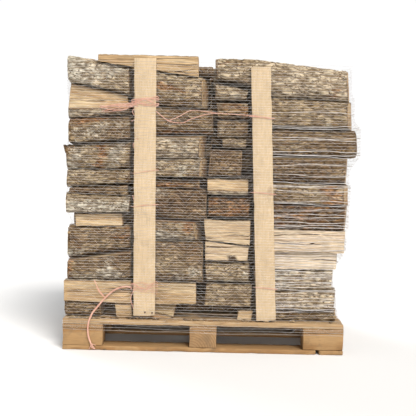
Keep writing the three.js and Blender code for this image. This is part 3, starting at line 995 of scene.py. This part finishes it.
def sawn_board(node, wear, seed, step=0.03):
    """A sawn board or block in its node's place, with worn, chipped arrises."""
    middle, size, arms = board_frame(node)
    bm = bmesh.new()
    bmesh.ops.create_cube(bm, size=1)
    bmesh.ops.scale(bm, vec=size, verts=bm.verts)
    for axis in range(3):
        cuts = int(size[axis] / step) - 1
        if cuts > 0:
            along = [e for e in bm.edges if abs((e.verts[0].co - e.verts[1].co)[axis]) > size[axis] * 0.9]
            bmesh.ops.subdivide_edges(bm, edges=along, cuts=cuts, use_grid_fill=True)
    arrises = [e for e in bm.edges if e.calc_face_angle(0) > 1.2]
    bmesh.ops.bevel(bm, geom=arrises, offset=wear, segments=2, profile=0.5, affect="EDGES", material=-1)
    shift = Vector((seed * 5.3, seed * 2.9, seed * 1.7))
    half = size / 2
    for vert in bm.verts:
        room = sorted(half[i] - abs(vert.co[i]) for i in range(3))
        near_arris = 1 - smooth_step(0.0, 0.008, room[1])
        chip = max(0.0, noise.noise((vert.co + shift) * 38) - 0.12) * 0.006 * near_arris
        rough = (noise.noise((vert.co + shift) * 90) + 1) * 0.00025
        worn = chip + rough
        near_face = [half[i] - abs(vert.co[i]) < 0.008 for i in range(3)]
        vert.co += Vector((-math.copysign(worn, c) if near else 0 for near, c in zip(near_face, vert.co)))
    turn = Matrix([arm.normalized() for arm in arms]).transposed().to_4x4()
    bmesh.ops.transform(bm, matrix=Matrix.Translation(middle) @ turn, verts=bm.verts)
    bmesh.ops.recalc_face_normals(bm, faces=bm.faces)
    return bm


BREAK_LEFT, BREAK_RIGHT = 0.485, 0.496  # where the front bottom board has lost a piece


def broken_board(bm, seed):
    """The board in two parts, with splintered ends where a narrow piece has broken out."""
    whole = bpy.data.meshes.new("scratch")
    bm.to_mesh(whole)
    bm.clear()
    for side, x in ((1, BREAK_LEFT), (-1, BREAK_RIGHT)):
        part = bmesh.new()
        part.from_mesh(whole)
        everything = part.verts[:] + part.edges[:] + part.faces[:]
        cut = bmesh.ops.bisect_plane(part, geom=everything, plane_co=(x, 0, 0), plane_no=(side, 0, 0.12),
                                     clear_outer=True)["geom_cut"]
        bmesh.ops.edgenet_fill(part, edges=[g for g in cut if isinstance(g, bmesh.types.BMEdge)])
        for vert in (g for g in cut if isinstance(g, bmesh.types.BMVert)):
            vert.co.x -= side * 0.006 * abs(noise.noise(vert.co * 90 + Vector((seed, 0, 0))))
        append(bm, part)
    bpy.data.meshes.remove(whole)
    for vert in bm.verts:
        ragged = smooth_step(0.50, 0.60, vert.co.x) * smooth_step(0.016, 0.0, vert.co.z)
        vert.co.z += ragged * 0.009 * (noise.noise(Vector((vert.co.x * 70, vert.co.y * 30, 4))) + 0.4)
    bmesh.ops.recalc_face_normals(bm, faces=bm.faces)
    return bm


def pallet():
    nodes = sorted(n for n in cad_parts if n.startswith("pallet_"))
    for seed, node in enumerate(nodes):
        bm = sawn_board(node, 0.0018, seed)
        if node == "pallet_bottom_board_front":
            bm = broken_board(bm, seed)
        wood = pallet_wood["Y" if "stringer" in node or "middle" in node else "X"]
        if "deck" in node:
            wood = deck_wood
        finish_piece(node + "_finished", bm, [wood], [node])


def battens():
    for seed, node in enumerate(sorted(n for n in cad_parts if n.startswith("batten_"))):
        board = sawn_board(node, 0.0012, 60 + seed)
        finish_piece(node + "_finished", board, [batten_wood], [node])


# ---------- threads ----------


def smooth_route(points, steps):
    """A smooth route through the points, with so many steps from each to the next."""
    points = [Vector(p) for p in points]
    points = [points[0] * 2 - points[1], *points, points[-1] * 2 - points[-2]]
    route = []
    for before, here, there, after in zip(points, points[1:], points[2:], points[3:]):
        for step in range(steps):
            t = step / steps
            bend = (here * 2 - before * 2 + (there * 4 - here * 5 + before * 2 - after) * t
                    + (here * 3 - there * 3 + after - before) * t * t)
            route.append(here + (there - before - (here * 2 - before * 2) + bend) * t / 2)
    return [*route, points[-2]]


def round_threads(routes, radius, closed=False):
    """The mesh of round threads that follow these routes."""
    curve = bpy.data.curves.new("threads", "CURVE")
    curve.dimensions = "3D"
    curve.bevel_depth = radius
    curve.bevel_resolution = 0
    curve.use_fill_caps = not closed
    for route in routes:
        spline = curve.splines.new("POLY")
        spline.points.add(len(route) - 1)
        for point, at in zip(spline.points, route):
            point.co = (*at, 1)
        spline.use_cyclic_u = closed
    winding = bpy.data.objects.new("threads", curve)
    mesh = bpy.data.meshes.new_from_object(winding)
    bpy.data.objects.remove(winding)
    bm = bmesh.new()
    bm.from_mesh(mesh)
    bpy.data.meshes.remove(mesh)
    bmesh.ops.recalc_face_normals(bm, faces=bm.faces)
    return bm


# ---------- the stretched net ----------

LOOP_PITCH = 0.0116
NET_BOTTOM = 0.088
NET_TOP = 1.238
MESH_LENGTH = 0.046
THREAD = 0.00038  # a thread's radius
# Doubled threads run over the right column, between these loops and most of all on the lower ones.
FIRST_DOUBLED, LAST_DOUBLED, DENSE_BELOW = 8, 81, 46


def net_reach(z, column, end):
    """How far out a column's logs hold the net at a height. It spans the gaps between them."""
    furthest = 0
    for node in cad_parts:
        if node.startswith(column + "_log_"):
            low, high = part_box(node)
            gap = max(low.z - z, z - high.z, 0)
            out = high.x if end == "right" else -low.x
            furthest = max(furthest, out - 0.8 * gap)
    return furthest


def batten_sides(node, z):
    """A batten's left and right side at a height."""
    middle, size, (length, _, _) = board_frame(node)
    x = middle.x + (z - middle.z) * length.x / length.z
    return x - size.y / 2, x + size.y / 2


def net_corners(z):
    """The corners that hold one loop of the net: battens, log ends and, low down, the pallet."""
    up = smooth_step(0.12, 0.165, z)
    left = -blend(0.6006, net_reach(z, "left", "left") + 0.002, up)
    right = blend(0.6006, net_reach(z, "right", "right") + 0.006, up)
    corner = blend(0.001, 0.012, up)
    log_face = blend(0.4008, 0.3685, up)
    board_face = blend(0.4008, 0.3938, up)
    front = [(left, -log_face + corner), (left + corner, -log_face)]
    back = [(right, log_face - corner), (right - corner, log_face)]
    for node in ("batten_front_left", "batten_front_right"):
        front += [(x, -board_face) for x in batten_sides(node, z)]
    for node in ("batten_rear_right", "batten_rear_left"):
        back += [(x, board_face) for x in reversed(batten_sides(node, z))]
    front += [(right - corner, -log_face), (right, -log_face + corner)]
    back += [(left + corner, log_face), (left, log_face - corner)]
    return [Vector((x, y, z)) for x, y in front + back]


def net_loop(number, steps):
    """One horizontal thread of the net, round the whole stack."""
    corners = net_corners(NET_BOTTOM + number * LOOP_PITCH)
    loop = []
    for here, there, cuts in zip(corners, corners[1:] + corners[:1], steps):
        for cut in range(cuts):
            at = here.lerp(there, cut / cuts)
            drawn = noise.noise(Vector((at.x * 1.3, at.y * 1.3, at.z * 5))) * 0.008
            loose = noise.noise(Vector((at.x * 5, at.y * 5, number * 5.1))) * 0.0045
            loop.append(at + Vector((0, 0, drawn + loose)))
    return loop


def net():
    middle = net_corners(0.7)
    sides = zip(middle, middle[1:] + middle[:1])
    steps = [max(1, round((there - here).length / MESH_LENGTH / 2) * 2) for here, there in sides]
    count = int((NET_TOP - NET_BOTTOM) / LOOP_PITCH)
    loops = [net_loop(number, steps) for number in range(count)]
    bm = round_threads(loops, THREAD, closed=True)
    finish_piece("net_loops", bm, [net_white])

    crossing = []
    for number in range(0, count - 3, 2):
        pair = loops[number], loops[number + 3]
        crossing.append([pair[(j + number) % 2][j] for j in range(len(loops[0]))])
    bm = round_threads(crossing, THREAD * 0.62, closed=True)
    finish_piece("net_crossing_threads", bm, [net_white])

    draw = random.Random(8)
    heavy = []
    from_batten = sum(steps[:5])
    to_log_ends = len(loops[0]) // 2
    for number in range(FIRST_DOUBLED, LAST_DOUBLED + 1):
        if draw.random() < (0.85 if number < DENSE_BELOW else 0.5):
            shift = draw.uniform(-0.004, 0.004)
            phase = draw.uniform(0, math.tau)
            run = loops[number][from_batten:to_log_ends]
            heavy.append([
                at + Vector((0, -0.0004, shift + 0.004 * math.sin(at.x * draw.uniform(14, 18) + phase)))
                for at in run
            ])
    bm = round_threads(heavy, THREAD * 2.3)
    finish_piece("net_doubled_threads", bm, [net_white])


# Each pink line over a batten: its height at the batten's left and right side, how far its
# threads spread, how many they are and how thick.
PINK_LINES = {
    "batten_front_left": [(1.058, 1.063, 0.044, 14, 0.0012), (0.760, 0.774, 0.003, 3, 0.0008),
                          (0.618, 0.628, 0.004, 3, 0.0009), (0.276, 0.274, 0.056, 11, 0.0006)],
    "batten_front_right": [(1.009, 1.003, 0.006, 3, 0.0011), (0.689, 0.684, 0.006, 3, 0.0009),
                           (0.284, 0.279, 0.006, 3, 0.0009)],
}
# Loose pink strings, as the points that they pass through.
PINK_STRINGS = [
    [(-0.217, -0.3945, 1.021), (-0.195, -0.390, 1.003), (-0.170, -0.388, 0.986), (-0.145, -0.388, 0.991),
     (-0.116, -0.388, 1.005), (-0.083, -0.389, 1.024), (-0.054, -0.391, 1.029), (-0.021, -0.392, 1.026),
     (0.005, -0.392, 1.023), (0.055, -0.393, 1.018), (0.110, -0.393, 1.016), (0.205, -0.3945, 1.011)],
    [(-0.170, -0.388, 0.983), (-0.145, -0.387, 0.977), (-0.104, -0.386, 0.976), (-0.075, -0.387, 0.991),
     (-0.050, -0.388, 0.999), (-0.008, -0.391, 1.013), (0.040, -0.392, 1.019)],
    [(-0.293, -0.3945, 1.045), (-0.318, -0.386, 1.020), (-0.305, -0.384, 0.992), (-0.322, -0.382, 0.978)],
    [(-0.293, -0.3945, 0.905), (-0.305, -0.386, 0.893), (-0.313, -0.384, 0.876), (-0.305, -0.385, 0.860)],
    [(-0.311, -0.386, 0.665), (-0.305, -0.386, 0.640), (-0.303, -0.388, 0.600), (-0.300, -0.390, 0.566)],
    [(-0.295, -0.3945, 0.268), (-0.312, -0.386, 0.225), (-0.300, -0.386, 0.180)],
]
# Where the net is bunched beside the left batten: the bunch's left end and the batten's side.
BUNCH_LEFT, BUNCH_RIGHT = (-0.448, -0.3745, 1.026), (-0.300, -0.3925, 1.044)


def pink_threads():
    """The net's pink marker threads: drawn tight over the battens and bunched beside them."""
    draw = random.Random(5)
    thin, stout = [], []
    for node, lines in PINK_LINES.items():
        for left_z, right_z, spread, count, radius in lines:
            left, _ = batten_sides(node, left_z)
            _, right = batten_sides(node, right_z)
            for _ in range(count):
                offsets = [draw.uniform(-0.5, 0.5) * spread for _ in range(3)]
                points = [
                    (left - 0.012, -0.388, left_z + offsets[0] * 0.35),
                    (left + 0.004, -0.3950, left_z + offsets[0] * 0.55),
                    ((left + right) / 2, -0.3952, (left_z + right_z) / 2 + offsets[1] * 0.8),
                    (right - 0.004, -0.3950, right_z + offsets[2]),
                    (right + 0.012, -0.388, right_z + offsets[2] * 0.8),
                ]
                (stout if radius > 0.001 else thin).append(smooth_route(points, 6))
    for _ in range(14):
        ends = [Vector(p) + Vector((draw.uniform(-0.02, 0.02), 0, draw.uniform(-0.018, 0.018)))
                for p in (BUNCH_LEFT, BUNCH_RIGHT)]
        ends[1].x = BUNCH_RIGHT[0]
        middle = ends[0].lerp(ends[1], draw.uniform(0.3, 0.7)) + Vector((0, 0, draw.uniform(-0.022, 0.012)))
        stout.append(smooth_route([ends[0], middle, ends[1]], 8))
    finish_piece("pink_fine_threads", round_threads(thin, 0.0006), [net_pink])
    finish_piece("pink_stout_threads", round_threads(stout, 0.0009), [net_pink])
    strings = []
    for points in PINK_STRINGS:
        route = smooth_route(points, 8)
        strings += twisted(route, 2, 0.001, 0.03)
    finish_piece("pink_strings", round_threads(strings, 0.0011), [net_pink])


# ---------- the net's tail ----------

TAIL_DIAMETER = 0.008
TAIL_ROUTE = [
    (-0.308, -0.379, 0.267), (-0.318, -0.378, 0.271), (-0.330, -0.378, 0.273), (-0.343, -0.378, 0.272),
    (-0.358, -0.378, 0.268), (-0.382, -0.380, 0.258), (-0.404, -0.382, 0.241), (-0.421, -0.385, 0.224),
    (-0.434, -0.388, 0.209), (-0.447, -0.392, 0.193), (-0.459, -0.397, 0.178), (-0.471, -0.401, 0.163),
    (-0.480, -0.405, 0.144), (-0.488, -0.407, 0.120), (-0.491, -0.407, 0.092), (-0.487, -0.407, 0.058),
    (-0.474, -0.407, 0.022),
]


def twisted(route, count, offset, turn_length):
    """So many strands wound round a route, each at the offset from it."""
    strands = [[] for _ in range(count)]
    walked = 0
    for i, at in enumerate(route):
        ahead = route[min(i + 1, len(route) - 1)] - route[max(i - 1, 0)]
        side = ahead.cross(Vector((0, 1, 0))).normalized()
        other = ahead.cross(side).normalized()
        if i:
            walked += (at - route[i - 1]).length
        for number, strand in enumerate(strands):
            angle = math.tau * (walked / turn_length + number / count)
            strand.append(at + (side * math.cos(angle) + other * math.sin(angle)) * offset)
    return strands


def net_tail():
    """The twisted end of the net, knotted at the pallet, with the strands that come loose from it."""
    route = smooth_route(TAIL_ROUTE, 5)
    strands = twisted(route, 5, TAIL_DIAMETER * 0.31, 0.045)
    tail = finish_piece("net_tail_twist", round_threads(strands, TAIL_DIAMETER * 0.19), [net_pink],
                        ["net_tail"])

    draw = random.Random(3)
    knot_at = Vector(TAIL_ROUTE[-1])
    loose = []
    for turn in (0, 1, 2):
        centre = knot_at + Vector((0, 0, 0.004 - 0.0045 * turn))
        ring = [centre + Vector((math.cos(a) * 0.0052, math.sin(a) * 0.0036, math.sin(a * 2 + turn) * 0.002))
                for a in (i / 14 * math.tau for i in range(15))]
        loose.append(ring)
    for _ in range(9):
        start = knot_at + Vector((draw.uniform(-0.003, 0.003), draw.uniform(-0.002, 0.003), 0))
        stop = Vector((knot_at.x + draw.uniform(-0.014, 0.020), -0.4045, draw.uniform(0.002, 0.012)))
        middle = start.lerp(stop, 0.5) + Vector((draw.uniform(-0.005, 0.005), 0, 0))
        loose.append(smooth_route([start, middle, stop], 5))
    loose.append(smooth_route([knot_at, (-0.468, -0.4062, 0.026), (-0.455, -0.4055, 0.022)], 6))
    knot = finish_piece("net_tail_knot", round_threads(loose, 0.0012), [net_pink])

    frayed = []
    for _ in range(5):
        points = [(-0.469, -0.384, 0.297), (-0.458, -0.388, 0.274), (-0.445, -0.391, 0.251),
                  (-0.423, -0.389, 0.226)]
        shifted = [Vector(p) + Vector([draw.uniform(-0.0022, 0.0022) for _ in range(3)]) for p in points]
        frayed.append(smooth_route(shifted, 6))
    fray = finish_piece("net_tail_frayed_strands", round_threads(frayed, 0.0009), [net_pink])


# ---------- nails and crumbs of bark ----------

NAIL_PLACES = [(-0.250, -0.3935, 0.166), (-0.219, -0.3935, 0.164)]


def nails():
    """Two round nail heads at the foot of the left batten."""
    steel, sheet, shader = start_material("nail_steel")
    rust = sheet.clouds(sheet.add("ShaderNodeTexCoord").outputs["Object"], 500, 3)
    colour = sheet.mix(sheet.spread(rust, 0.4, 0.6), shade(92, 88, 84), shade(112, 74, 50))
    sheet.tree.links.new(colour, shader.inputs["Base Color"])
    shader.inputs["Metallic"].default_value = 0.7
    shader.inputs["Roughness"].default_value = 0.5
    bm = bmesh.new()
    for place in NAIL_PLACES:
        turn = Matrix.Translation(place) @ Matrix.Rotation(math.radians(90), 4, "X")
        bmesh.ops.create_cone(bm, segments=14, radius1=0.0045, radius2=0.0034, depth=0.0018, matrix=turn,
                              cap_ends=True)
    rims = [e for e in bm.edges if e.calc_face_angle(0) > 0.9]
    bmesh.ops.bevel(bm, geom=rims, offset=0.0004, segments=2, profile=0.5, affect="EDGES", material=-1)
    finish_piece("batten_nails", bm, [steel])


def crumbs():
    """Flakes of bark and splinters shed on the deck's front edge and on the ground."""
    draw = random.Random(12)
    bm = bmesh.new()
    places = [(draw.uniform(-0.57, -0.43), draw.uniform(-0.392, -0.375), DECK_TOP) for _ in range(16)]
    places += [(draw.uniform(-0.42, 0.57), draw.uniform(-0.392, -0.375), DECK_TOP) for _ in range(26)]
    places += [(draw.uniform(-0.58, 0.1), draw.uniform(-0.398, -0.34), 0.0) for _ in range(12)]
    for place in places:
        size = Vector((draw.uniform(0.006, 0.017), draw.uniform(0.003, 0.006), draw.uniform(0.0015, 0.005)))
        made = bmesh.ops.create_icosphere(bm, subdivisions=2, radius=1)["verts"]
        turn = draw.uniform(-0.5, 0.5)
        for vert in made:
            vert.co *= 1 + 0.35 * noise.noise(vert.co * 1.3 + Vector(place) * 40)
        bmesh.ops.scale(bm, vec=size, verts=made)
        bmesh.ops.rotate(bm, matrix=Matrix.Rotation(turn, 3, "Z"), verts=made)
        lift = -min(v.co.z for v in made) + 0.0003
        bmesh.ops.translate(bm, vec=Vector(place) + Vector((0, 0, lift)), verts=made)
    paint = bm.verts.layers.float_color.new("look")
    for vert in bm.verts:
        vert[paint] = (0.35, 0.15, 0.5, 1)
    finish_piece("bark_crumbs", bm, [log_finishes[BARK]])


set_camera()
net_tail()
set_studio()
front_row()
rear_rows()
pallet()
battens()
net()
pink_threads()
nails()
crumbs()
